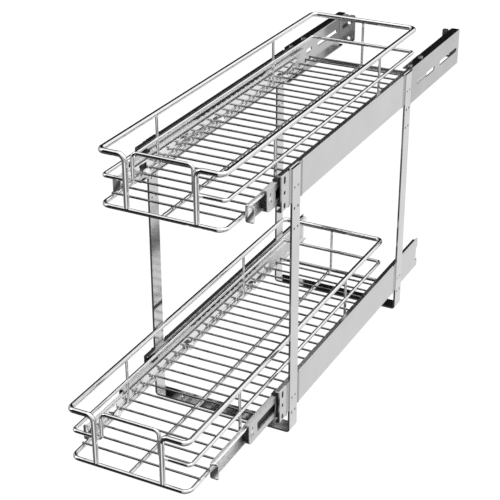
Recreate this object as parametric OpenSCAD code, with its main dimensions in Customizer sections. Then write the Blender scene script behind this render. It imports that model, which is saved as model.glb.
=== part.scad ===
// Two-tier pull-out wire basket unit for a narrow kitchen cabinet.
// X runs across the unit, +Y runs to its back, +Z is up.
// The origin is the middle of the four floor screw holes, on the floor.

/* [Frame] */
// Width over the outer faces of the upright brackets
frame_w = 186; // [176:1:320]
// Distance from the front upright's middle to the rear upright's middle
upright_pitch = 338; // [260:1:370]
// Width of the upright's flat strip
upright_w = 20; // [18:1:26]
// Thickness of the upright's flat strip
upright_t = 2.5; // [1.5:0.1:3]
// Outer radius of the upright's bottom bends
upright_bend = 5; // [4:0.5:12]
// How far a leg ends below the top of the upper channel
upright_drop = 1; // [0.5:0.5:6]
// Height of the lower slides' centre line above the floor
lower_rail_z = 50; // [46:1:70]
// Height from the lower slides to the upper slides
tier_spacing = 273; // [180:1:340]
// Diameter of the screw holes in the floor strips
floor_hole_d = 5; // [4:0.5:6]
// Distance across between the two screw holes of a floor strip
floor_hole_pitch = 120; // [80:1:140]
// Diameter of the holes in the upright's legs
leg_hole_d = 3.3; // [2.5:0.1:4]
// Distance between the two holes of a pair
leg_hole_pair = 9; // [8:0.5:10]
// Height from one pair of holes to the next
leg_hole_step = 25; // [24:1:40]

/* [Side channels] */
// Length of a side channel
channel_len = 450; // [430:1:500]
// Height of a side channel
channel_h = 43.5; // [42:0.5:48]
// Sheet thickness of the channel
channel_t = 1.5; // [1:0.1:2]
// Width of the channel's top and bottom flanges
channel_flange = 5.2; // [5:0.1:8]
// How far the channel stands out in front of the front upright
channel_front = 25; // [18:1:40]
// Distance from the channel's front edge to its hole row
front_hole_inset = 7; // [5:0.1:8]
// Width of the holes in the channel's front edge
front_hole_w = 4.5; // [3.5:0.1:5]
// How far the channel's web stands out beside the uprights
field_raise = 1.5; // [1:0.1:2]

/* [Rear brackets] */
// Length of a rear bracket
bracket_len = 185; // [178:1:220]
// Height of a rear bracket
bracket_h = 49.3; // [47:0.1:54]
// Sheet thickness of the bracket
bracket_t = 1.5; // [1:0.1:2]
// Width of the bracket's top flange
bracket_flange = 11.5; // [9:0.5:13]
// Distance from the bracket's front end to its first slot
slot_inset = 18; // [8:1:20]
// Width of the bracket's bottom flange
bracket_low_flange = 8.7; // [6:0.1:10]
// How far the bracket's back wall turns inwards
bracket_wall = 25.5; // [22:0.5:28]
// Space between the rear upright and the bracket
bracket_behind = 3; // [1:0.5:12]
// Length of each slot in the bracket
slot_len = 68; // [50:1:70]
// Width of each slot in the bracket
slot_w = 6; // [4:0.5:7]
// Distance from the middle of one slot to the middle of the next
slot_pitch = 88; // [74:1:92]
// Diameter of the screw holes in the bracket's back wall
wall_hole_d = 5; // [4:0.5:6]
// Height between the screw holes in the bracket's back wall
wall_hole_step = 23; // [18:1:26]
// Distance from the bracket's outer face to the screw holes in its back wall
wall_hole_in = 16.1; // [12:0.1:17]

/* [Ball-bearing slides] */
// Thickness of a closed slide, from basket to channel
slide_w = 12.4; // [12.4:0.1:14]
// Height of the slide's outer rail
rail_h = 37; // [36:0.5:38]
// Sheet thickness of the rails
rail_t = 1; // [0.8:0.05:1.1]
// Diameter of the balls
ball_d = 3.5; // [3.3:0.1:3.5]
// Running clearance between a ball and its races
ball_clear = 0.3; // [0.2:0.05:0.35]
// Distance from ball to ball along a cage
ball_step = 13; // [10:1:24]
// Length of a ball cage
cage_len = 190; // [150:1:196]
// How far a cage sits behind the front of its rail when the slide is shut
cage_set_back = 134; // [132:1:150]
// Length of the inner rail on the basket
inner_rail_len = 450; // [430:1:470]
// Width of the turned front end of the inner rail
tab_w = 10.4; // [8:0.1:11]
// Space between the shut basket's rail end and the channel
tab_gap = 2; // [1:0.5:4]
// How far the intermediate rail sits behind the channel's front edge when shut
middle_set_back = 2.5; // [2.5:0.5:6]

/* [Baskets] */
// Length of a basket over its floor wire
basket_l = 536.5; // [500:0.5:560]
// Height of the rim above the floor wire
rim_h = 63; // [52:1:120]
// Height of the middle wire above the floor wire
middle_h = 32; // [24:1:36]
// Height of the handle's bar above the floor wire
handle_h = 64.8; // [52:0.1:110]
// Diameter of the rim wire and front posts
rim_d = 6.4; // [5:0.1:7]
// Diameter of the middle wire and handle
middle_d = 4.4; // [3.5:0.1:5]
// Diameter of the floor frame wire
floor_d = 5; // [4:0.1:5.5]
// Diameter of the floor's cross wires
cross_d = 2.6; // [2:0.1:3.2]
// Diameter of the upright struts between the wires
strut_d = 3.4; // [2.6:0.1:4]
// Distance from one cross wire to the next
cross_step = 19.7; // [17.5:0.1:24]
// Distance from the floor wire's front to the first cross wire
cross_first = 23.4; // [20:0.1:28]
// Distance from the last, extra cross wire to the floor wire's back
cross_last = 7; // [5:0.1:9]
// Sideways place of the front posts
post_x = 42.4; // [41:0.1:50]
// Sideways place of the handle's legs
handle_x = 36.5; // [24:0.5:37]
// How far the basket's front stands before its slides' ends
basket_before_rail = 44.5; // [32:0.5:52]
// Height of the slide's centre line above the floor wire
rail_above_floor = 4.5; // [4:0.1:5.5]

/* [Pose] */
// How far the upper basket is drawn out
upper_out = 52.5; // [0:0.5:440]
// How far the lower basket is drawn out
lower_out = 138.5; // [0:0.5:440]

/* [Hidden] */
$fn = 48;
SIDES = ["left", "right"];
TIERS = ["lower", "upper"];

// Clearances
weld_gap = 0.05;     // between wires that touch at a weld
fit_gap = 0.05;      // between a rivet or screw and its hole, all round
lap_gap = 0.1;       // between the bracket and the channel it laps
over = 1;            // how far a cut runs past what it cuts

// Frame, worked out from the sizes above
upper_rail_z = lower_rail_z + tier_spacing;
upright_top = upper_rail_z + channel_h / 2 - upright_drop;
channel_outer_x = frame_w / 2 - upright_t;
channel_inner_x = channel_outer_x - channel_t;
slide_x = channel_inner_x - slide_w;
channel_y = -upright_pitch / 2 - upright_w / 2 - channel_front;
rivet_drop = 3.3;    // rivets below the slide's centre line
rivet_recess = 0.5;
bracket_y = upright_pitch / 2 + upright_w / 2 + bracket_behind;
bracket_top = upper_rail_z + channel_h / 2 + lap_gap + bracket_t;
wall_lower = 3;      // the back wall's top lies this far below the flange's
wall_raised = 6;     // and its bottom this far above the bracket's
wall_dip = 2.5;      // width of the small dip in the back wall's top
wall_corner_r = 2.5;
low_corner_r = 3;
field_slope = 6;     // length over which the web steps in to an upright
field_gap = 1.5;     // between that step and the upright
flange_screw_d = 3;
ear_w = 12;          // the channel's top flange is wider under the bracket's
flange_screw_x = channel_outer_x - ear_w / 2 + 1;
flange_screw_steps = [8, 46];

// Slide section: u runs from the basket to the channel, v up from the centre line
race_r = ball_d / 2 + ball_clear;
outer_row_u = slide_w - rail_t - race_r;
outer_row_v = rail_h / 2 - rail_t - race_r;
middle_top_v = outer_row_v - race_r;
middle_web_u = slide_w - 2 * rail_t - 1.7;
inner_row_u = 2 * rail_t + 0.55 + race_r;
inner_row_v = middle_top_v - rail_t - race_r;
inner_top_v = inner_row_v - race_r;
pocket_r = ball_d / 2 + 0.15;
cage_t = 0.7;
cage_strip_t = 1.1;
outer_cage_u = slide_w - rail_t - 0.6 - cage_t;
outer_strip_v = middle_top_v + 0.5;
outer_strip_u = outer_row_u - 4.05;
inner_cage_u = middle_web_u - 0.8 - cage_t;
inner_strip_v = inner_top_v + 1.05;
inner_strip_u = inner_row_u - 1.6;
rail_inset = 13;             // outer rail starts behind the front hole row
middle_rail_len = channel_len - middle_set_back - 2;
window_len = 48;
window_h = 12.6;
bumper_front = 1;            // bumper stands this far out of the middle rail
bumper_tongue = 34;          // its tongue ends this far behind the rail's front
bumper_gap = 0.4;            // between the bumper and the inner rail around it
stop_arm = 1.6;              // thickness of the stop's top and bottom arms
tab_drop = 3.3;              // the turned end reaches this far below the rail
tab_t = 1.5;
outer_rail_len = channel_len - rail_inset - 1;

// Basket
side_x = slide_x - weld_gap - floor_d / 2;
middle_front = rim_d / 2 + middle_d / 2 + weld_gap;
middle_rear = basket_l - strut_d / 2 - middle_d / 2 - weld_gap;
rim_front_r = 6.5;
rim_rear_r = 8;
middle_r = 4.3;
floor_front_r = 9;
floor_rear_r = 8;
post_bend = 8;
handle_bend = 6;
handle_foot_bend = 5;
cross_row = floor((basket_l - cross_first - cross_last - cross_step / 2) / cross_step);
cross_places = concat([for (i = [0:cross_row]) cross_first + i * cross_step], [basket_l - cross_last]);
cross_z = floor_d / 2 + cross_d / 2 + weld_gap;
cross_half = side_x + floor_d / 2 - 1.2;
strut_wires = [5, 20];       // cross wires that a pair of struts stands in front of
hook_w = 10;
hook_t = 1.1;
hook_bays = [3, 12, 21];

function tier_z(tier) = tier == "upper" ? upper_rail_z : lower_rail_z;
function tier_out(tier) = tier == "upper" ? upper_out : lower_out;
function inner_rail_y(tier) = channel_y - tab_gap - tier_out(tier);
function basket_y(tier) = inner_rail_y(tier) - basket_before_rail;
function middle_rail_y(tier) = channel_y + middle_set_back - tier_out(tier) / 2;
function outer_cage_y(tier) = channel_y + cage_set_back - tier_out(tier) / 4;
function inner_cage_y(tier) = channel_y + middle_set_back + cage_set_back - tier_out(tier) * 3 / 4;
function lean(v) = v / norm(v);

// ---------- helpers ----------

// Runs a flat section, drawn in X and Z, along +Y
module along_y(y, length) {
    translate([0, y + length, 0]) rotate([90, 0, 0]) linear_extrude(length) children();
}

module on_side(side) {
    if (side == "right") children();
    if (side == "left") mirror([1, 0, 0]) children();
}

// Puts a slide piece, drawn at u and v, on its side and tier
module on_slide(tier, side) {
    on_side(side) translate([slide_x, 0, tier_z(tier)]) children();
}

module rounded_square(w, h, r) {
    translate([r, 0]) square([w - 2 * r, h]);
    translate([0, r]) square([w, h - 2 * r]);
    for (x = [r, w - r])
        for (y = [r, h - r])
            translate([x, y]) circle(r);
}

// Part of a ring between two angles, for the rolled edge of a rail
module arc_band(r_in, r_out, from, to) {
    sector = [for (i = [0:6]) let (a = from + (to - from) * i / 6) 1.5 * r_out * [cos(a), sin(a)]];
    intersection() {
        difference() {
            circle(r_out);
            circle(r_in);
        }
        polygon(concat([[0, 0]], sector));
    }
}

module both_edges() {
    children();
    mirror([0, 1]) children();
}

// A slot through a wall that faces X, centred on y and z
module slot_x(x, y, z, length, width, depth) {
    for (end = [-1, 1])
        translate([x, y + end * (length - width) / 2, z]) rotate([0, 90, 0]) cylinder(d = width, h = depth);
    translate([x, y - (length - width) / 2, z - width / 2]) cube([depth, length - width, width]);
}

// The same slot standing upright
module slot_x_upright(x, y, z, length, width, depth) {
    for (end = [-1, 1])
        translate([x, y, z + end * (length - width) / 2]) rotate([0, 90, 0]) cylinder(d = width, h = depth);
    translate([x, y - width / 2, z - (length - width) / 2]) cube([depth, width, length - width]);
}

// One straight run of wire from p to q
module wire_run(p, q, d) {
    z = lean(q - p);
    x = [z[1], z[2], z[0]];
    y = cross(z, x);
    multmatrix([
        [x[0], y[0], z[0], p[0]],
        [x[1], y[1], z[1], p[1]],
        [x[2], y[2], z[2], p[2]],
        [0, 0, 0, 1]
    ]) cylinder(d = d, h = norm(q - p));
}

// One quarter bend of wire at corner p, coming along a and leaving along b
module wire_bend(p, a, b, r, d) {
    c = p - r * a + r * b;
    n = cross(a, b);
    multmatrix([
        [-b[0], a[0], n[0], c[0]],
        [-b[1], a[1], n[1], c[1]],
        [-b[2], a[2], n[2], c[2]],
        [0, 0, 0, 1]
    ]) rotate_extrude(angle = 90) translate([r, 0]) circle(d = d);
}

// A wire bent square at each corner; an open wire has bends of 0 at its ends
module bent_wire(points, bends, d, closed = false) {
    n = len(points);
    for (i = [0:(closed ? n - 1 : n - 2)]) {
        p = points[i];
        q = points[(i + 1) % n];
        dir = lean(q - p);
        wire_run(p + bends[i] * dir, q - bends[(i + 1) % n] * dir, d);
    }
    for (i = [(closed ? 0 : 1):(closed ? n - 1 : n - 2)]) {
        p = points[i];
        before = points[(i + n - 1) % n];
        after = points[(i + 1) % n];
        wire_bend(p, lean(p - before), lean(after - p), bends[i], d);
    }
}

// ---------- frame ----------

// A U open at the top, with round bends at the floor
module upright_section() {
    tall = upright_top + 2 * upright_bend;
    intersection() {
        difference() {
            translate([-frame_w / 2, 0]) rounded_square(frame_w, tall, upright_bend);
            translate([-channel_outer_x, upright_t])
                rounded_square(2 * channel_outer_x, tall, upright_bend - upright_t);
        }
        translate([-frame_w / 2, 0]) square([frame_w, upright_top]);
    }
}

// Heights of the pairs of holes in a leg
function leg_hole_heights() = [
    upper_rail_z - rivet_drop,
    upper_rail_z - rivet_drop - leg_hole_step,
    upper_rail_z - rivet_drop - 2 * leg_hole_step,
    lower_rail_z - rivet_drop,
    lower_rail_z - channel_h / 2 - leg_hole_d / 2 - 0.4
];

module upright(y) {
    difference() {
        along_y(y - upright_w / 2, upright_w) upright_section();
        for (z = leg_hole_heights())
            for (pair = [-1, 1])
                translate([-frame_w / 2 - over, y + pair * leg_hole_pair / 2, z])
                    rotate([0, 90, 0]) cylinder(d = leg_hole_d, h = frame_w + 2 * over);
        for (x = [-1, 1])
            translate([x * floor_hole_pitch / 2, y, -over])
                cylinder(d = floor_hole_d, h = upright_t + 2 * over);
    }
}

module front_upright() {
    color([0.8, 0.8, 0.81]) upright(-upright_pitch / 2);
}

module rear_upright() {
    color([0.8, 0.8, 0.81]) upright(upright_pitch / 2);
}

// Flat at the flanges' inner edge; the web stands out by raise
module channel_section(raise) {
    w = channel_flange + raise;
    difference() {
        translate([slide_w + channel_t + raise - w, -channel_h / 2]) {
            translate([0, 0]) square([w - 2, channel_h]);
            translate([0, 2]) square([w, channel_h - 4]);
            for (z = [2, channel_h - 2])
                translate([w - 2, z]) circle(2);
        }
        translate([slide_w + channel_t + raise - w - over, -channel_h / 2 + channel_t])
            square([w + over - channel_t, channel_h - 2 * channel_t]);
    }
}

// One step of the web, drawn from above: in at y, out at y + run
module channel_step(y, run) {
    inner = slide_w;
    outer = slide_w + channel_t;
    edge = outer - channel_flange;
    translate([0, y, -channel_h / 2]) {
        linear_extrude(channel_h)
            polygon([[inner, 0], [outer, 0], [outer + field_raise, run], [inner + field_raise, run]]);
        for (z = [0, channel_h - channel_t])
            translate([0, 0, z]) linear_extrude(channel_t)
                polygon([[edge, 0], [outer, 0], [outer + field_raise, run], [edge, run]]);
    }
}

// The channel's sheet: raised fields in front of and between the uprights
module channel_body() {
    half = upright_w / 2 + field_gap;
    front_in = -upright_pitch / 2 - half;
    front_out = -upright_pitch / 2 + half;
    rear_in = upright_pitch / 2 - half;
    raised_from = front_out + field_slope;
    along_y(channel_y, front_in - field_slope - channel_y) channel_section(field_raise);
    along_y(front_in, front_out - front_in) channel_section(0);
    along_y(raised_from, rear_in - field_slope - raised_from) channel_section(field_raise);
    along_y(rear_in, channel_y + channel_len - rear_in) channel_section(0);
    channel_step(front_in, -field_slope);
    channel_step(front_out, field_slope);
    channel_step(rear_in, -field_slope);
}

module rivet_places() {
    for (upright_y = [-1, 1])
        for (pair = [-1, 1])
            translate([0, upright_y * upright_pitch / 2 + pair * leg_hole_pair / 2, -rivet_drop])
                rotate([0, 90, 0]) children();
}

module channel(tier, side, carries_bracket) {
    web = slide_w - over;
    deep = channel_t + field_raise + 2 * over;
    hole_y = channel_y + front_hole_inset;
    ear_len = channel_y + channel_len - bracket_y;
    on_slide(tier, side) difference() {
        union() {
            channel_body();
            if (carries_bracket)
                translate([slide_w + channel_t - ear_w, bracket_y, channel_h / 2 - channel_t])
                    cube([ear_w - channel_t, ear_len, channel_t]);
        }
        // flanges end before the rear edge
        translate([-over, channel_y + channel_len - 6, -channel_h])
            cube([slide_w + over - 0.6, 6 + over, 2 * channel_h]);
        // shallow notch in the rear edge of the web
        translate([web, channel_y + channel_len - 7, -channel_h / 2 + 11])
            cube([deep, 7 + over, channel_h - 24]);
        // hole row in the front edge
        slot_x_upright(web, hole_y, channel_h / 2 - 7, 9, front_hole_w, deep);
        translate([web, hole_y, 0]) rotate([0, 90, 0]) cylinder(d = front_hole_w, h = deep);
        slot_x_upright(web, hole_y, -channel_h / 2 + 6.5, 6.5, front_hole_w, deep);
        translate([web, 0, 0]) rivet_places() cylinder(d = leg_hole_d, h = deep);
        if (carries_bracket)
            for (step = flange_screw_steps)
                translate([flange_screw_x - slide_x, bracket_y + step, 0])
                    cylinder(d = flange_screw_d, h = channel_h);
    }
}

module channel_node(tier, side) {
    color([0.77, 0.77, 0.77]) channel(tier, side, tier == "upper");
}

// A flat plate with one corner rounded, the corner farthest along X and Y
module corner_plate(w, l, r) {
    square([w - r, l]);
    square([w, l - r]);
    translate([w - r, l - r]) circle(r);
}

module bracket(side) {
    outer_x = channel_outer_x + lap_gap + bracket_t;
    low = bracket_top - bracket_h;
    back = bracket_y + bracket_len;
    slot_z = upper_rail_z - rivet_drop;
    first_slot = bracket_y + slot_inset + slot_len / 2;
    bend = 3;
    flange_len = bracket_len - bend;
    wall_w = bracket_wall - bend;
    wall_z = low + wall_raised;
    wall_h = bracket_h - wall_lower - wall_raised;
    cut = bracket_t + 2 * over;
    on_side(side) difference() {
        union() {
            translate([outer_x - bracket_t, bracket_y, low]) cube([bracket_t, bracket_len - bend, bracket_h]);
            // top and bottom flanges
            translate([outer_x - over, bracket_y, bracket_top - bracket_t]) mirror([1, 0, 0])
                linear_extrude(bracket_t) corner_plate(bracket_flange - over, flange_len, wall_corner_r);
            translate([outer_x - over, bracket_y, low]) mirror([1, 0, 0])
                linear_extrude(bracket_t) corner_plate(bracket_low_flange - over, flange_len, low_corner_r);
            // back wall with its bend
            translate([outer_x - bend, back, wall_z]) rotate([90, 0, 0]) mirror([1, 0, 0])
                linear_extrude(bracket_t) intersection() {
                    corner_plate(wall_w, wall_h, wall_corner_r);
                    translate([0, wall_h]) mirror([0, 1]) corner_plate(wall_w, wall_h, wall_raised);
                }
            translate([outer_x - bend, back - bend, wall_z]) intersection() {
                difference() {
                    cylinder(r = bend, h = wall_h);
                    translate([0, 0, -over]) cylinder(r = bend - bracket_t, h = wall_h + 2 * over);
                }
                cube([bend + over, bend + over, wall_h]);
            }
        }
        translate([outer_x - wall_hole_in, back - bracket_t - over, wall_z + wall_h])
            rotate([-90, 0, 0]) cylinder(d = wall_dip, h = cut);
        for (i = [0, 1])
            slot_x(outer_x - bracket_t - over, first_slot + i * slot_pitch, slot_z, slot_len, slot_w, cut);
        for (up = [-1, 1])
            translate([outer_x - wall_hole_in, back - bracket_t - over, slot_z + up * wall_hole_step / 2])
                rotate([-90, 0, 0]) cylinder(d = wall_hole_d, h = cut);
        for (step = flange_screw_steps)
            translate([flange_screw_x, bracket_y + step, bracket_top - bracket_t - over])
                cylinder(d = flange_screw_d, h = cut);
    }
}

module left_rear_bracket() {
    color([0.72, 0.72, 0.72]) bracket("left");
}

module right_rear_bracket() {
    color([0.72, 0.72, 0.72]) bracket("right");
}

// Tubular rivets through the leg, the channel and the outer rail
module channel_rivets() {
    length = rail_t + channel_t + upright_t - rivet_recess;
    color([0.6, 0.6, 0.6])
        for (tier = TIERS)
            for (side = SIDES)
                on_slide(tier, side) translate([slide_w - rail_t, 0, 0]) rivet_places() difference() {
                    cylinder(d = leg_hole_d - 2 * fit_gap, h = length);
                    translate([0, 0, length / 2]) cylinder(d = leg_hole_d / 2, h = length);
                }
}

module bracket_screws() {
    color([0.8, 0.8, 0.8])
        for (side = SIDES)
            on_side(side)
                for (step = flange_screw_steps)
                    translate([flange_screw_x, bracket_y + step, bracket_top]) {
                        cylinder(d = 2 * flange_screw_d, h = 1.6);
                        translate([0, 0, -bracket_t - lap_gap - channel_t - 0.9])
                            cylinder(d = flange_screw_d - 2 * fit_gap, h = bracket_t + lap_gap + channel_t + 1);
                    }
}

// ---------- ball-bearing slides ----------

module outer_rail_section() {
    translate([slide_w - rail_t, -outer_row_v]) square([rail_t, 2 * outer_row_v]);
    both_edges() translate([outer_row_u, outer_row_v]) arc_band(race_r, race_r + rail_t, 0, 180);
}

module outer_rail(tier, side) {
    color([0.82, 0.82, 0.83]) on_slide(tier, side) difference() {
        along_y(channel_y + rail_inset, outer_rail_len) outer_rail_section();
        translate([slide_w - rail_t - over, 0, 0]) rivet_places()
            cylinder(d = leg_hole_d, h = rail_t + 2 * over);
    }
}

// Plastic stop at the mouth of the channel, open for the rails that run through it
module channel_stop(tier, side) {
    bar_v = middle_top_v + 0.5;
    web_u = middle_web_u + rail_t + 1.6;
    end_u = slide_w + field_raise - weld_gap;
    top_arm_u = 3;
    low_arm_u = 6.5;
    color([0.05, 0.05, 0.05]) on_slide(tier, side) {
        along_y(channel_y + 1.5, rail_inset - 1.5 - weld_gap) {
            translate([web_u, -bar_v - stop_arm]) square([end_u - web_u, 2 * bar_v + 2 * stop_arm]);
            translate([top_arm_u, bar_v]) square([end_u - top_arm_u, stop_arm]);
            translate([low_arm_u, -bar_v - stop_arm]) square([end_u - low_arm_u, stop_arm]);
        }
        along_y(channel_y + rail_inset - over, 8 + over)
            both_edges() translate([outer_row_u, outer_row_v]) circle(ball_d / 2);
    }
}

module cage_pockets(row_u, row_v, y) {
    for (i = [0:floor((cage_len - ball_step) / ball_step)])
        for (up = [-1, 1])
            translate([row_u, y + ball_step / 2 + i * ball_step, up * row_v]) children();
}

module outer_cage(tier, side) {
    y = outer_cage_y(tier);
    color([0.06, 0.06, 0.06]) on_slide(tier, side) difference() {
        along_y(y, cage_len) {
            translate([outer_cage_u, -outer_strip_v - cage_strip_t])
                square([cage_t, 2 * outer_strip_v + 2 * cage_strip_t]);
            both_edges() translate([outer_strip_u, outer_strip_v])
                square([outer_cage_u + cage_t - outer_strip_u, cage_strip_t]);
        }
        cage_pockets(outer_row_u, outer_strip_v + cage_strip_t / 2, y)
            cylinder(r = pocket_r, h = cage_strip_t + 0.6, center = true);
    }
}

module outer_balls(tier, side) {
    color([0.85, 0.85, 0.87]) on_slide(tier, side)
        cage_pockets(outer_row_u, outer_row_v, outer_cage_y(tier)) sphere(d = ball_d);
}

module middle_rail_section() {
    translate([middle_web_u, -middle_top_v]) square([rail_t, 2 * middle_top_v]);
    both_edges() {
        translate([inner_row_u, middle_top_v - rail_t]) square([middle_web_u + rail_t - inner_row_u, rail_t]);
        translate([inner_row_u, inner_row_v]) arc_band(race_r, race_r + rail_t, 90, 180);
    }
}

module middle_rail(tier, side) {
    y = middle_rail_y(tier);
    corner = 4.5;
    boss_y = y + 8;
    window_y = y + 20;
    deep = 4;
    color([0.85, 0.85, 0.86]) on_slide(tier, side) difference() {
        union() {
            along_y(y, middle_rail_len) middle_rail_section();
            // pressed boss that holds the bumper
            translate([middle_web_u + rail_t / 2, boss_y, -2]) rotate([0, 90, 0])
                cylinder(d = 8, h = rail_t / 2 + 0.8);
        }
        translate([middle_web_u - over, boss_y, -2]) rotate([0, 90, 0]) cylinder(d = 3.2, h = deep);
        translate([middle_web_u - over, boss_y, 6]) rotate([0, 90, 0]) cylinder(d = 3, h = deep);
        // window in the web
        translate([middle_web_u - over, window_y, -window_h / 2]) rotate([90, 0, 90])
            linear_extrude(deep) rounded_square(window_len, window_h, 1.5);
        // round lower corner at the front
        difference() {
            translate([0, y - over, -middle_top_v - over]) cube([slide_w, corner + over, corner + over]);
            translate([-over, y + corner, -middle_top_v + corner]) rotate([0, 90, 0])
                cylinder(r = corner, h = slide_w + 2 * over);
        }
    }
}

// Plastic bumper in the front end of the middle rail; the inner rail runs around it
module rail_bumper(tier, side) {
    y = middle_rail_y(tier) - bumper_front;
    inside_u = rail_t + bumper_gap;
    inside_v = inner_top_v - rail_t - bumper_gap;
    held = 17;      // length of the head, ahead of the inner cage
    end_u = middle_web_u - weld_gap;
    color([0.07, 0.07, 0.07]) on_slide(tier, side) {
        along_y(y, held) {
            translate([inside_u, -inside_v]) square([end_u - inside_u, 2 * inside_v]);
            translate([inner_cage_u, -inner_row_v]) square([end_u - inner_cage_u, 2 * inner_row_v]);
        }
        along_y(y, bumper_tongue + bumper_front)
            translate([inside_u, -inside_v]) square([inner_cage_u - bumper_gap - inside_u, 2 * inside_v]);
    }
}

module inner_cage(tier, side) {
    y = inner_cage_y(tier);
    color([0.06, 0.06, 0.06]) on_slide(tier, side) difference() {
        along_y(y, cage_len) {
            translate([inner_cage_u, -inner_strip_v - 1]) square([cage_t, 2 * inner_strip_v + 2]);
            both_edges() translate([inner_strip_u, inner_strip_v])
                square([inner_cage_u + cage_t - inner_strip_u, 1]);
        }
        cage_pockets(inner_row_u, inner_strip_v + 0.5, y) cylinder(r = pocket_r, h = 1.6, center = true);
    }
}

module inner_balls(tier, side) {
    color([0.85, 0.85, 0.87]) on_slide(tier, side)
        cage_pockets(inner_row_u, inner_row_v, inner_cage_y(tier)) sphere(d = ball_d);
}

module inner_rail_section() {
    translate([0, -inner_top_v]) square([rail_t, 2 * inner_top_v]);
    both_edges() {
        translate([0, inner_top_v - rail_t]) square([inner_row_u, rail_t]);
        translate([inner_row_u, inner_row_v]) arc_band(race_r, race_r + rail_t, 270, 315);
    }
}

// A clip pressed out of the inner rail: over the floor wire, behind it, and under it
module wire_clip_section() {
    top = -rail_above_floor + floor_d / 2 + 0.1;
    inside = -weld_gap - floor_d - 0.15;
    under = -rail_above_floor - floor_d / 2 - 0.1;
    translate([inside - hook_t, top]) square([hook_t - inside + rail_t / 2, hook_t]);
    translate([inside - hook_t, top - 3.5]) square([hook_t, 3.5 + hook_t]);
    translate([-floor_d, under - hook_t]) square([floor_d + rail_t / 2, hook_t]);
}

module inner_rail(tier, side) {
    y = inner_rail_y(tier);
    color([0.84, 0.84, 0.85]) on_slide(tier, side) {
        along_y(y, inner_rail_len) inner_rail_section();
        // front end turned outwards, square to the rail
        along_y(y - tab_t, tab_t) translate([0, -inner_top_v - tab_drop])
            rounded_square(tab_w, 2 * inner_top_v + tab_drop, 2);
        for (bay = hook_bays)
            along_y(basket_y(tier) + cross_first + (bay + 0.5) * cross_step - hook_w / 2, hook_w)
                wire_clip_section();
    }
}

// ---------- baskets ----------

module in_basket(tier) {
    color([0.88, 0.88, 0.9]) translate([0, basket_y(tier), tier_z(tier) - rail_above_floor]) children();
}

// Rim and both front posts, bent from one wire
module rim_wire(tier) {
    foot = floor_d / 2 + weld_gap;
    points = [
        [-post_x, 0, foot],
        [-post_x, 0, rim_h],
        [-side_x, 0, rim_h],
        [-side_x, basket_l, rim_h],
        [side_x, basket_l, rim_h],
        [side_x, 0, rim_h],
        [post_x, 0, rim_h],
        [post_x, 0, foot]
    ];
    bends = [0, post_bend, rim_front_r, rim_rear_r, rim_rear_r, rim_front_r, post_bend, 0];
    in_basket(tier) bent_wire(points, bends, rim_d);
}

// Middle rail and handle, bent from one closed wire
module handle_wire(tier) {
    points = [
        [-side_x, middle_front, middle_h],
        [-side_x, middle_rear, middle_h],
        [side_x, middle_rear, middle_h],
        [side_x, middle_front, middle_h],
        [handle_x, middle_front, middle_h],
        [handle_x, middle_front, handle_h],
        [-handle_x, middle_front, handle_h],
        [-handle_x, middle_front, middle_h]
    ];
    bends = [
        middle_r, middle_r, middle_r, middle_r,
        handle_foot_bend, handle_bend, handle_bend, handle_foot_bend
    ];
    in_basket(tier) bent_wire(points, bends, middle_d, closed = true);
}

module floor_wire(tier) {
    points = [[-side_x, 0, 0], [-side_x, basket_l, 0], [side_x, basket_l, 0], [side_x, 0, 0]];
    in_basket(tier)
        bent_wire(points, [floor_front_r, floor_rear_r, floor_rear_r, floor_front_r], floor_d, closed = true);
}

module centre_wire(tier) {
    gap = floor_d / 2 + weld_gap;
    in_basket(tier) wire_run([0, gap, 0], [0, basket_l - gap, 0], floor_d);
}

module cross_wires(tier) {
    in_basket(tier)
        for (y = cross_places)
            wire_run([-cross_half, y, cross_z], [cross_half, y, cross_z], cross_d);
}

// Struts butt-welded between floor wire, middle wire and rim
module strut(x, y) {
    low = floor_d / 2 + weld_gap;
    under_middle = middle_h - middle_d / 2 - weld_gap;
    over_middle = middle_h + middle_d / 2 + weld_gap;
    under_rim = rim_h - rim_d / 2 - weld_gap;
    wire_run([x, y, low], [x, y, under_middle], strut_d);
    wire_run([x, y, over_middle], [x, y, under_rim], strut_d);
}

module struts(tier) {
    in_basket(tier) {
        for (x = [-side_x, side_x])
            for (i = strut_wires)
                strut(x, cross_places[i] - (cross_d + strut_d) / 2 - weld_gap);
        // the middle wire runs in front of the rear strut
        wire_run([0, basket_l, floor_d / 2 + weld_gap], [0, basket_l, rim_h - rim_d / 2 - weld_gap], strut_d);
    }
}

// ---------- nodes ----------

front_upright();
rear_upright();
left_rear_bracket();
right_rear_bracket();
channel_rivets();
bracket_screws();

for (tier = TIERS) {
    for (side = SIDES) {
        name = str(tier, "_", side, "_");
        channel_node(tier, side);
        outer_rail(tier, side);
        channel_stop(tier, side);
        outer_cage(tier, side);
        outer_balls(tier, side);
        middle_rail(tier, side);
        rail_bumper(tier, side);
        inner_cage(tier, side);
        inner_balls(tier, side);
        inner_rail(tier, side);
    }
    rim_wire(tier);
    handle_wire(tier);
    floor_wire(tier);
    centre_wire(tier);
    cross_wires(tier);
    struts(tier);
}
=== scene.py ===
import math

import bpy
from mathutils import Matrix, Vector


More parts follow.
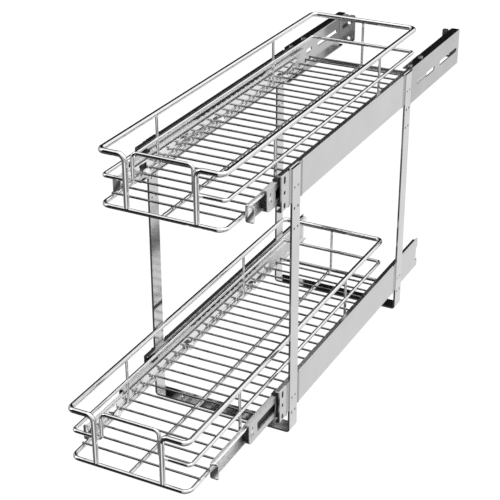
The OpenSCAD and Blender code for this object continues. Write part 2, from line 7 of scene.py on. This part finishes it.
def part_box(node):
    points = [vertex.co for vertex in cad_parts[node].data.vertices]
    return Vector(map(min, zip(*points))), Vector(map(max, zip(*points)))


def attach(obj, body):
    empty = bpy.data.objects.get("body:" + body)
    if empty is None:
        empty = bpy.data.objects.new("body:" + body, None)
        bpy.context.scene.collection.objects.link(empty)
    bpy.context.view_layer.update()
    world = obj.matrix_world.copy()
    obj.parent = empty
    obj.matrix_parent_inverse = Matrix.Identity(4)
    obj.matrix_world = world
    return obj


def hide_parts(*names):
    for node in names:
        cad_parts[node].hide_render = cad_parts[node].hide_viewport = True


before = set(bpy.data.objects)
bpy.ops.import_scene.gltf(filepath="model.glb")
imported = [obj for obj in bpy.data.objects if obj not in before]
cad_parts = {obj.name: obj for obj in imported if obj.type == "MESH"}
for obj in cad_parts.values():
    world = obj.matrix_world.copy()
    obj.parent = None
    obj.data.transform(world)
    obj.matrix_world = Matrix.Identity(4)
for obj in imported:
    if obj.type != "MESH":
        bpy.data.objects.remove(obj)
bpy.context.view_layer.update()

bpy.ops.object.select_all(action="DESELECT")


# ---------- camera ----------

CAMERA_PLACE = (0.6701, -1.4051, 0.9330)
CAMERA_AZIMUTH = 27.18
CAMERA_ELEVATION = 26.90
CAMERA_ROLL = -0.13
CAMERA_LENS = 98.0
CAMERA_SENSOR = 36
CAMERA_NEAR, CAMERA_FAR = 0.05, 50


def set_camera():
    """Looks down on the unit's front right corner."""
    azimuth, elevation, roll = (
        math.radians(turn) for turn in (CAMERA_AZIMUTH, CAMERA_ELEVATION, CAMERA_ROLL))
    back = Vector((
        math.sin(azimuth) * math.cos(elevation),
        -math.cos(azimuth) * math.cos(elevation),
        math.sin(elevation)))
    right = (-back).cross(Vector((0, 0, 1))).normalized()
    up = right.cross(-back)
    rolled_right = right * math.cos(roll) + up * math.sin(roll)
    rolled_up = up * math.cos(roll) - right * math.sin(roll)
    data = bpy.data.cameras.new("camera")
    data.lens = CAMERA_LENS
    data.sensor_width = CAMERA_SENSOR
    data.clip_start, data.clip_end = CAMERA_NEAR, CAMERA_FAR
    camera = bpy.data.objects.new("camera", data)
    turn = Matrix((rolled_right, rolled_up, back)).transposed().to_4x4()
    camera.matrix_world = Matrix.Translation(CAMERA_PLACE) @ turn
    bpy.context.collection.objects.link(camera)
    bpy.context.scene.camera = camera


# ---------- wiring of finishes ----------


class Nodes:
    """A short hand for wiring shader nodes."""

    def __init__(self, tree):
        self.tree = tree
        tree.nodes.clear()

    def add(self, kind, **values):
        """A node; a value whose name starts with in_ is set on the input of that name."""
        node = self.tree.nodes.new(kind)
        for key, value in values.items():
            if key.startswith("in_"):
                node.inputs[key[3:].replace("_", " ")].default_value = value
            else:
                setattr(node, key, value)
        return node

    def join(self, out, socket):
        self.tree.links.new(out, socket)

    def ramp(self, source, stops):
        """Grey tones, each at its place between 0 and 1."""
        node = self.add("ShaderNodeValToRGB")
        while len(node.color_ramp.elements) < len(stops):
            node.color_ramp.elements.new(0.5)
        for element, (place, tone) in zip(node.color_ramp.elements, stops):
            element.position = place
            element.color = (tone, tone, tone, 1)
        self.join(source, node.inputs["Fac"])
        return node.outputs["Color"]

    def span(self, source, low, high):
        """0 to 1 stretched to low to high."""
        node = self.add("ShaderNodeMapRange", in_To_Min=low, in_To_Max=high)
        self.join(source, node.inputs["Value"])
        return node.outputs["Result"]

    def grain(self, stretch, size, detail=3.0, rough=0.5):
        """Noise fixed to the piece, drawn out along the axes with a small stretch."""
        place = self.add("ShaderNodeTexCoord")
        mapping = self.add("ShaderNodeMapping", in_Scale=stretch)
        noise = self.add("ShaderNodeTexNoise", in_Scale=size, in_Detail=detail, in_Roughness=rough)
        self.join(place.outputs["Object"], mapping.inputs["Vector"])
        self.join(mapping.outputs["Vector"], noise.inputs["Vector"])
        return noise.outputs["Fac"]

    def reckon(self, operation, *values):
        """A Math node on numbers and on other nodes' values."""
        node = self.add("ShaderNodeMath", operation=operation)
        for socket, value in zip(node.inputs, values):
            if isinstance(value, (int, float)):
                socket.default_value = value
            else:
                self.join(value, socket)
        return node.outputs[0]

    def either(self, test, yes, no):
        """One value where the test is 1, and another where it is 0."""
        mix = self.add("ShaderNodeMix", data_type="FLOAT")
        self.join(test, mix.inputs["Factor"])
        self.join(no, mix.inputs["A"])
        self.join(yes, mix.inputs["B"])
        return mix.outputs["Result"]

    def looks_inwards(self):
        """1 on the faces that look to the unit's middle plane, x = 0."""
        coords = self.add("ShaderNodeTexCoord")
        side, face = self.add("ShaderNodeSeparateXYZ"), self.add("ShaderNodeSeparateXYZ")
        self.join(coords.outputs["Object"], side.inputs["Vector"])
        self.join(coords.outputs["Normal"], face.inputs["Vector"])
        outwards = self.reckon("MULTIPLY", side.outputs["X"], face.outputs["X"])
        return self.reckon("LESS_THAN", outwards, INWARDS_BELOW)

    def looks_forwards(self):
        """1 on the faces that look to the unit's front."""
        coords = self.add("ShaderNodeTexCoord")
        face = self.add("ShaderNodeSeparateXYZ")
        self.join(coords.outputs["Normal"], face.inputs["Vector"])
        return self.reckon("LESS_THAN", face.outputs["Y"], FORWARDS_BELOW)


INWARDS_BELOW = -0.02
FORWARDS_BELOW = -0.7
DARK_CLOUD, LIGHT_CLOUD = 0.3, 0.7
LINE_SHARE, CLOUD_SHARE = 0.65, 0.35


def metal(name, tone, gloss, run, fine, depth, clouds=18.0, inner=None, front=None):
    """A plated steel: cloudy tone and gloss, and fine lines in the rolling or drawing direction.
    inner and front are the gloss of the faces that look to the unit's middle and to its front."""
    material = bpy.data.materials.new(name)
    material.use_nodes = True
    n = Nodes(material.node_tree)
    out = n.add("ShaderNodeOutputMaterial")
    shader = n.add("ShaderNodeBsdfPrincipled", in_Metallic=1.0)
    cloud = n.grain(ALL_WAYS, clouds)
    lines = n.grain(run, fine, 4.0, 0.6)
    stops = list(zip((DARK_CLOUD, LIGHT_CLOUD), tone))
    n.join(n.ramp(cloud, stops), shader.inputs["Base Color"])
    wear = n.reckon("MULTIPLY_ADD", lines, LINE_SHARE, n.reckon("MULTIPLY", cloud, CLOUD_SHARE))
    roughness = n.span(wear, *gloss)
    if inner:
        roughness = n.either(n.looks_inwards(), n.span(wear, *inner), roughness)
    if front:
        roughness = n.either(n.looks_forwards(), n.span(wear, *front), roughness)
    n.join(roughness, shader.inputs["Roughness"])
    bump = n.add("ShaderNodeBump", in_Strength=1.0, in_Distance=depth)
    n.join(lines, bump.inputs["Height"])
    n.join(bump.outputs["Normal"], shader.inputs["Normal"])
    n.join(shader.outputs["BSDF"], out.inputs["Surface"])
    return material


def moulded(name, tone, gloss, pebble, depth):
    """A moulded plastic with a fine pebbled skin."""
    material = bpy.data.materials.new(name)
    material.use_nodes = True
    n = Nodes(material.node_tree)
    out = n.add("ShaderNodeOutputMaterial")
    shader = n.add("ShaderNodeBsdfPrincipled", in_Metallic=0.0, in_IOR=1.5)
    cloud = n.grain(ALL_WAYS, 60.0)
    pebbles = n.grain(ALL_WAYS, pebble, 2.0)
    stops = list(zip((DARK_CLOUD, LIGHT_CLOUD), tone))
    n.join(n.ramp(cloud, stops), shader.inputs["Base Color"])
    n.join(n.span(pebbles, *gloss), shader.inputs["Roughness"])
    bump = n.add("ShaderNodeBump", in_Strength=0.6, in_Distance=depth)
    n.join(pebbles, bump.inputs["Height"])
    n.join(bump.outputs["Normal"], shader.inputs["Normal"])
    n.join(shader.outputs["BSDF"], out.inputs["Surface"])
    return material


# ---------- finishes ----------

ALL_WAYS = (1, 1, 1)
ALONG_THE_RAIL = (1, 0.02, 1)
UP_THE_LEG = (1, 1, 0.02)

WIRE_CHROME = metal(
    "wire_chrome", tone=(0.88, 0.94), gloss=(0.02, 0.07),
    run=ALL_WAYS, fine=420.0, depth=0.000004, clouds=35.0)
# The cross wires' chrome is the same chrome as wire_chrome, but with a much darker base colour.
# That darkness is painted shade: it stands in for the dark studio cards that the thin wires mirror.
THIN_CHROME_PAINTED_DARK = metal(
    "thin_chrome_painted_dark", tone=(0.30, 0.38), gloss=(0.03, 0.08),
    run=ALL_WAYS, fine=420.0, depth=0.000004, clouds=35.0)
CHANNEL_ZINC = metal(
    "channel_zinc", tone=(0.68, 0.74), gloss=(0.18, 0.26),
    run=ALONG_THE_RAIL, fine=900.0, depth=0.00001)
BRACKET_ZINC = metal(
    "bracket_zinc", tone=(0.54, 0.62), gloss=(0.14, 0.22),
    run=ALONG_THE_RAIL, fine=900.0, depth=0.00001)
UPRIGHT_ZINC = metal(
    "upright_zinc", tone=(0.72, 0.80), gloss=(0.08, 0.16),
    run=UP_THE_LEG, fine=900.0, depth=0.00001)
RAIL_ZINC = metal(
    "rail_zinc", tone=(0.88, 0.94), gloss=(0.52, 0.62),
    run=ALONG_THE_RAIL, fine=900.0, depth=0.00002)
INNER_RAIL_ZINC = metal(
    "inner_rail_zinc", tone=(0.90, 0.95), gloss=(0.46, 0.56),
    run=ALONG_THE_RAIL, fine=900.0, depth=0.00001, inner=(0.02, 0.06), front=(0.14, 0.22))
BALL_STEEL = metal(
    "ball_steel", tone=(0.80, 0.88), gloss=(0.04, 0.10),
    run=ALL_WAYS, fine=500.0, depth=0.000002, clouds=200.0)
RIVET_ZINC = metal(
    "rivet_zinc", tone=(0.50, 0.62), gloss=(0.25, 0.40),
    run=ALL_WAYS, fine=700.0, depth=0.00002, clouds=120.0)
SCREW_ZINC = metal(
    "screw_zinc", tone=(0.50, 0.62), gloss=(0.22, 0.36),
    run=ALL_WAYS, fine=700.0, depth=0.00002, clouds=120.0)
BLACK_PLASTIC = moulded(
    "black_plastic", tone=(0.008, 0.014), gloss=(0.38, 0.55), pebble=2600.0, depth=0.00004)

FINISHES = {
    "_upright": UPRIGHT_ZINC,
    "_channel": CHANNEL_ZINC,
    "_rear_bracket": BRACKET_ZINC,
    "channel_rivets": RIVET_ZINC,
    "bracket_screws": SCREW_ZINC,
    "_outer_rail": RAIL_ZINC,
    "_middle_rail": RAIL_ZINC,
    "_inner_rail": INNER_RAIL_ZINC,
    "_channel_stop": BLACK_PLASTIC,
    "_rail_bumper": BLACK_PLASTIC,
    "_cage": BLACK_PLASTIC,
    "_balls": BALL_STEEL,
    "_wire": WIRE_CHROME,
    "_wires": THIN_CHROME_PAINTED_DARK,
    "_struts": WIRE_CHROME,
}


def finish_frame():
    """Gives every solid of the frame its finish, by the end of its name."""
    for name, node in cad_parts.items():
        material = next(finish for end, finish in FINISHES.items() if name.endswith(end))
        for place in node.material_slots:
            place.material = material


# ---------- bench work ----------


def select_only(piece, *others):
    """Selects these pieces alone, the first of them active."""
    bpy.ops.object.select_all(action="DESELECT")
    for one in (piece, *others):
        one.select_set(True)
    bpy.context.view_layer.objects.active = piece


def start_shaping():
    """Edit mode, with the whole mesh selected."""
    bpy.ops.object.mode_set(mode="EDIT")
    bpy.ops.mesh.select_all(action="SELECT")


def end_shaping():
    bpy.ops.object.mode_set(mode="OBJECT")


def place_in_mesh(piece):
    """The piece's place goes into its mesh, and its object to the origin."""
    select_only(piece)
    bpy.ops.object.transform_apply(location=True, rotation=True, scale=True)


def copy_to(piece, name, shift):
    """A copy with its own mesh, moved by the shift."""
    twin = piece.copy()
    twin.data = piece.data.copy()
    twin.data.transform(Matrix.Translation(shift))
    twin.name = twin.data.name = name
    bpy.context.collection.objects.link(twin)
    return twin


def rounded_bar(name, size, middle, edge_radius, edge_steps):
    """A bar at its place, with all its edges rounded."""
    bpy.ops.mesh.primitive_cube_add(size=1, location=middle)
    bar = bpy.context.object
    bar.name = bar.data.name = name
    bar.scale = size
    place_in_mesh(bar)
    start_shaping()
    bpy.ops.mesh.bevel(offset=edge_radius, segments=edge_steps)
    end_shaping()
    return bar


# ---------- inner rails, with the opening behind their front wire clip ----------

CLIP_OPENING_BACK = 0.1005
CLIP_OPENING_LENGTH = 0.016
CLIP_OPENING_HEIGHT = 0.0078
CLIP_OPENING_FOOT = 0.007
CLIP_OPENING_NOSE = 0.002
CUTTER_DEPTH = 0.004
RAIL_LIP = 0.0017
WEB_INNER_FACE = 0.0766
SAME_POINT = 0.000002
SOFT_EDGE = math.radians(30)


def clip_cutter(low_back):
    """The wedge that is cut from a rail's web where a wire clip was pressed out of it."""
    middle = low_back + Vector((0, -CLIP_OPENING_LENGTH / 2, CLIP_OPENING_HEIGHT / 2))
    bpy.ops.mesh.primitive_cube_add(size=1, location=middle)
    cutter = bpy.context.object
    cutter.scale = (CUTTER_DEPTH, CLIP_OPENING_LENGTH, CLIP_OPENING_HEIGHT)
    place_in_mesh(cutter)
    foot = low_back + Vector((0, -CLIP_OPENING_FOOT, 0))
    nose = low_back + Vector((0, -CLIP_OPENING_LENGTH, CLIP_OPENING_HEIGHT - CLIP_OPENING_NOSE))
    slope = (nose - foot).normalized()
    start_shaping()
    bpy.ops.mesh.bisect(
        plane_co=foot, plane_no=Vector((0, slope.z, -slope.y)), use_fill=True, clear_inner=True)
    bpy.ops.mesh.select_all(action="SELECT")
    bpy.ops.mesh.normals_make_consistent(inside=False)
    end_shaping()
    return cutter


def pressed_inner_rail(tier, side):
    """The inner rail with the opening that its front wire clip leaves in the web."""
    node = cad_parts[f"{tier}_{side}_inner_rail"]
    rail = bpy.data.objects.new(f"{tier}_{side}_pressed_inner_rail", node.data.copy())
    bpy.context.collection.objects.link(rail)
    select_only(rail)
    start_shaping()
    bpy.ops.mesh.remove_doubles(threshold=SAME_POINT)
    end_shaping()
    basket_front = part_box(f"{tier}_floor_wire")[0].y
    rail_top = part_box(node.name)[1].z
    web = WEB_INNER_FACE * (-1 if side == "left" else 1)
    low = rail_top - RAIL_LIP - CLIP_OPENING_HEIGHT
    cutter = clip_cutter(Vector((web, basket_front + CLIP_OPENING_BACK, low)))
    cut = rail.modifiers.new("clip_opening", "BOOLEAN")
    cut.operation, cut.solver, cut.object = "DIFFERENCE", "EXACT", cutter
    select_only(rail)
    bpy.ops.object.modifier_apply(modifier=cut.name)
    bpy.data.objects.remove(cutter)
    rail.data.materials.clear()
    rail.data.materials.append(INNER_RAIL_ZINC)
    bpy.ops.object.shade_smooth_by_angle(angle=SOFT_EDGE)
    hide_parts(node.name)
    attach(rail, f"{tier}_basket")


# ---------- bumper tongues ----------

SKIN = 0.0001
WINDOW_END = 0.070
TONGUE_DEPTH = 0.0052
TONGUE_HEIGHT = 0.0136
TONGUE_SEAT = 0.001
TONGUE_EDGE, TONGUE_EDGE_STEPS = 0.0006, 3


def bumper_tongue(tier, side):
    """The far end of the bumper's tongue, which fills the middle rail's window."""
    low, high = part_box(f"{tier}_{side}_rail_bumper")
    start = high.y - TONGUE_SEAT
    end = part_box(f"{tier}_{side}_middle_rail")[0].y + WINDOW_END
    inwards = 1 if side == "left" else -1
    inner_side = high.x if side == "left" else low.x
    x = inner_side - inwards * (TONGUE_DEPTH / 2 + SKIN)
    tongue = rounded_bar(
        f"{tier}_{side}_bumper_tongue", (TONGUE_DEPTH, end - start, TONGUE_HEIGHT),
        (x, (start + end) / 2, (low.z + high.z) / 2), TONGUE_EDGE, TONGUE_EDGE_STEPS)
    tongue.data.materials.append(BLACK_PLASTIC)
    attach(tongue, f"{tier}_{side}_middle_rail_body")


# ---------- cage fingers ----------

BALL_SIZE = 0.0035
BALL_STEP = 0.013
CAGE_GAP = 0.0005
FINGER_LENGTH = 0.0072
FINGER_REACH = 0.0022
FINGER_THICK = 0.0007
FINGER_ROOT = 0.0003
FINGER_EDGE, FINGER_EDGE_STEPS = 0.00015, 2


def cage_fingers(tier, side):
    """The outer ball cage's fingers, one at each ball, that lie over the middle rail's top."""
    low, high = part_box(f"{tier}_{side}_outer_cage")
    inwards = 1 if side == "left" else -1
    inner_edge = high.x if side == "left" else low.x
    x = inner_edge + inwards * (FINGER_REACH / 2 - FINGER_ROOT)
    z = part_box(f"{tier}_{side}_middle_rail")[1].z + CAGE_GAP + SKIN + FINGER_THICK / 2
    first, last = (corner.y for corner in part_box(f"{tier}_{side}_outer_balls"))
    count = round((last - first - BALL_SIZE) / BALL_STEP) + 1
    fingers = rounded_bar(
        f"{tier}_{side}_cage_fingers", (FINGER_REACH, FINGER_LENGTH, FINGER_THICK),
        (x, first + BALL_SIZE / 2, z), FINGER_EDGE, FINGER_EDGE_STEPS)
    others = [copy_to(fingers, "finger", Vector((0, i * BALL_STEP, 0))) for i in range(1, count)]
    select_only(fingers, *others)
    bpy.ops.object.join()
    fingers.data.materials.append(BLACK_PLASTIC)
    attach(fingers, f"{tier}_{side}_outer_cage_body")


# ---------- weld beads ----------

BEAD_RADIUS = 0.0021
BEAD_FLATNESS = 0.42
BEAD_SEGMENTS, BEAD_RINGS = 10, 6
LEAST_WIRE_GAP = 0.004


def weld_beads(tier):
    """The flattened beads where each cross wire is welded to the floor wire and the centre wire."""
    low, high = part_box(f"{tier}_floor_wire")
    floor_radius = (high.z - low.z) / 2
    cross_radius = (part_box(f"{tier}_cross_wires")[1].z - high.z) / 2
    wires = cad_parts[f"{tier}_cross_wires"].data.vertices
    depths = sorted({round(point.co.y, 5) for point in wires})
    gaps = zip(depths, [-math.inf] + depths)
    wire_fronts = [y for y, before in gaps if y - before > LEAST_WIRE_GAP]
    bpy.ops.mesh.primitive_uv_sphere_add(
        segments=BEAD_SEGMENTS, ring_count=BEAD_RINGS, radius=BEAD_RADIUS)
    bead = bpy.context.object
    start_shaping()
    bpy.ops.transform.resize(value=(1, 1, BEAD_FLATNESS))
    end_shaping()
    bpy.ops.object.shade_smooth()
    beads = []
    for front in wire_fronts:
        for x in (low.x + floor_radius, 0.0, high.x - floor_radius):
            beads.append(copy_to(bead, "bead", Vector((x, front + cross_radius, high.z))))
    bpy.data.objects.remove(bead)
    select_only(*beads)
    bpy.ops.object.join()
    joined = bpy.context.object
    joined.name = joined.data.name = f"{tier}_weld_beads"
    # The beads take the cross wires' darkened chrome, with its painted shade.
    joined.data.materials.append(THIN_CHROME_PAINTED_DARK)
    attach(joined, f"{tier}_basket")


# ---------- studio ----------

FLOOR_SIZE = 30
FLOOR_DROP = 0.0005
PAPER_TONE = [(0.3, 0.90), (0.7, 0.93)]
PAPER_GRAIN = 3.0
FLOOR_GLOW = 1.06
FLOOR_GLOW_SHARE = 0.94


def studio_floor():
    """White paper that glows for the camera only, so that it still takes the unit's shadow."""
    bpy.ops.mesh.primitive_plane_add(size=FLOOR_SIZE, location=(0, 0, -FLOOR_DROP))
    floor = bpy.context.object
    floor.name = "studio_floor"
    material = bpy.data.materials.new("floor_paper")
    material.use_nodes = True
    n = Nodes(material.node_tree)
    out = n.add("ShaderNodeOutputMaterial")
    paper = n.add("ShaderNodeBsdfDiffuse")
    n.join(n.ramp(n.grain(ALL_WAYS, PAPER_GRAIN), PAPER_TONE), paper.inputs["Color"])
    glow = n.add("ShaderNodeEmission", in_Strength=FLOOR_GLOW)
    rays = n.add("ShaderNodeLightPath")
    mix = n.add("ShaderNodeMixShader")
    share = n.reckon("MULTIPLY", rays.outputs["Is Camera Ray"], FLOOR_GLOW_SHARE)
    n.join(share, mix.inputs["Fac"])
    n.join(paper.outputs["BSDF"], mix.inputs[1])
    n.join(glow.outputs["Emission"], mix.inputs[2])
    n.join(mix.outputs["Shader"], out.inputs["Surface"])
    floor.data.materials.append(material)
    floor.visible_glossy = False


# What the metal mirrors, as tones by bearing: 0 left, 0.25 front, 0.5 right, 0.75 back.
FLOOR_TONE = [
    (0.0, 0.16), (0.12, 0.20), (0.145, 0.06), (0.205, 0.06), (0.235, 0.25), (0.28, 0.90),
    (0.37, 0.90), (0.41, 0.25), (0.58, 0.20), (0.62, 0.80), (0.74, 0.86), (0.78, 0.16),
    (1.0, 0.16)]
DEEP_FLOOR_TONE = [
    (0.0, 0.02), (0.45, 0.02), (0.60, 0.80), (0.78, 0.86), (0.84, 0.02), (1.0, 0.02)]
CARD_TONE = [
    (0.0, 0.42), (0.07, 0.42), (0.11, 0.005), (0.215, 0.005), (0.25, 0.42), (0.62, 0.42),
    (0.72, 0.30), (0.765, 0.005), (0.875, 0.005), (0.92, 0.42), (1.0, 0.42)]
# How high the cards' feet and tops stand by bearing, moved up to stay between 0 and 1.
CARD_FOOT = [
    (0.0, 0.20), (0.50, 0.20), (0.62, 0.32), (0.72, 0.34), (0.78, 0.02), (0.90, 0.02),
    (0.98, 0.20)]
CARD_FOOT_MOVED_UP = 0.50
CARD_TOP = [
    (0.0, 1.0), (0.18, 1.0), (0.45, 0.60), (0.60, 0.24), (0.70, 0.30), (0.745, 1.0),
    (1.0, 1.0)]
CARD_TOP_MOVED_UP = 0.30
DEEP_FLOOR_TOP = -0.70
SOFT_FOOT, SOFT_TOP = 0.04, 0.06
CEILING_WHITE = (1, 1, 1, 1)
ROOM_GREY = (0.62, 0.62, 0.62, 1)


def studio_room():
    """White to the eye. Metal sees a pale floor, dark cards round the horizon, a white ceiling."""
    world = bpy.data.worlds.new("studio")
    bpy.context.scene.world = world
    world.use_nodes = True
    n = Nodes(world.node_tree)
    out = n.add("ShaderNodeOutputWorld")
    rays = n.add("ShaderNodeLightPath")
    place = n.add("ShaderNodeTexCoord")
    way = n.add("ShaderNodeSeparateXYZ")
    n.join(place.outputs["Generated"], way.inputs["Vector"])
    compass = n.add("ShaderNodeTexGradient", gradient_type="RADIAL")
    n.join(place.outputs["Generated"], compass.inputs["Vector"])
    bearing = compass.outputs["Fac"]

    def above(height, soft):
        """0 below a height, 1 above it, and a soft step between."""
        node = n.add(
            "ShaderNodeMapRange", interpolation_type="SMOOTHSTEP",
            in_From_Min=-soft, in_From_Max=soft)
        n.join(n.reckon("SUBTRACT", way.outputs["Z"], height), node.inputs["Value"])
        return node.outputs["Result"]

    def blend(amount, low, high):
        node = n.add("ShaderNodeMix", data_type="RGBA")
        n.join(amount, node.inputs["Factor"])
        n.join(low, node.inputs["A"])
        n.join(high, node.inputs["B"])
        return node.outputs["Result"]

    foot = n.reckon("SUBTRACT", n.ramp(bearing, CARD_FOOT), CARD_FOOT_MOVED_UP)
    top = n.reckon("SUBTRACT", n.ramp(bearing, CARD_TOP), CARD_TOP_MOVED_UP)
    ceiling = n.add("ShaderNodeRGB")
    ceiling.outputs["Color"].default_value = CEILING_WHITE
    floor = blend(
        above(DEEP_FLOOR_TOP, SOFT_FOOT),
        n.ramp(bearing, DEEP_FLOOR_TONE), n.ramp(bearing, FLOOR_TONE))
    walls = blend(above(foot, SOFT_FOOT), floor, n.ramp(bearing, CARD_TONE))
    room = blend(above(top, SOFT_TOP), walls, ceiling.outputs["Color"])

    mirrored = n.add("ShaderNodeBackground", in_Strength=1.0)
    n.join(room, mirrored.inputs["Color"])
    soft_light = n.add("ShaderNodeBackground", in_Color=ROOM_GREY, in_Strength=1.0)
    seen = n.add("ShaderNodeBackground", in_Color=CEILING_WHITE, in_Strength=1.0)
    unseen_mix, mix = n.add("ShaderNodeMixShader"), n.add("ShaderNodeMixShader")
    n.join(rays.outputs["Is Glossy Ray"], unseen_mix.inputs["Fac"])
    n.join(soft_light.outputs["Background"], unseen_mix.inputs[1])
    n.join(mirrored.outputs["Background"], unseen_mix.inputs[2])
    n.join(rays.outputs["Is Camera Ray"], mix.inputs["Fac"])
    n.join(unseen_mix.outputs["Shader"], mix.inputs[1])
    n.join(seen.outputs["Background"], mix.inputs[2])
    n.join(mix.outputs["Shader"], out.inputs["Surface"])


UNIT_MIDDLE = (0, 0, 0.2)


def soft_box(name, place, size, power):
    """A square lamp that faces the unit's middle."""
    data = bpy.data.lights.new(name, "AREA")
    data.shape = "SQUARE"
    data.size = size
    data.energy = power
    lamp = bpy.data.objects.new(name, data)
    lamp.location = place
    aim = Vector(UNIT_MIDDLE) - Vector(place)
    lamp.rotation_euler = aim.to_track_quat("-Z", "Y").to_euler()
    bpy.context.collection.objects.link(lamp)


# ---------- the unit ----------

set_camera()
finish_frame()
for tier in ("upper", "lower"):
    weld_beads(tier)
    for side in ("left", "right"):
        pressed_inner_rail(tier, side)
        cage_fingers(tier, side)
        bumper_tongue(tier, side)
studio_floor()
studio_room()
soft_box("top_box", place=(0.3, 0.2, 2.4), size=1.8, power=14)
soft_box("left_box", place=(-1.9, -1.2, 1.5), size=1.2, power=8)
bpy.context.scene.view_settings.view_transform = "Standard"
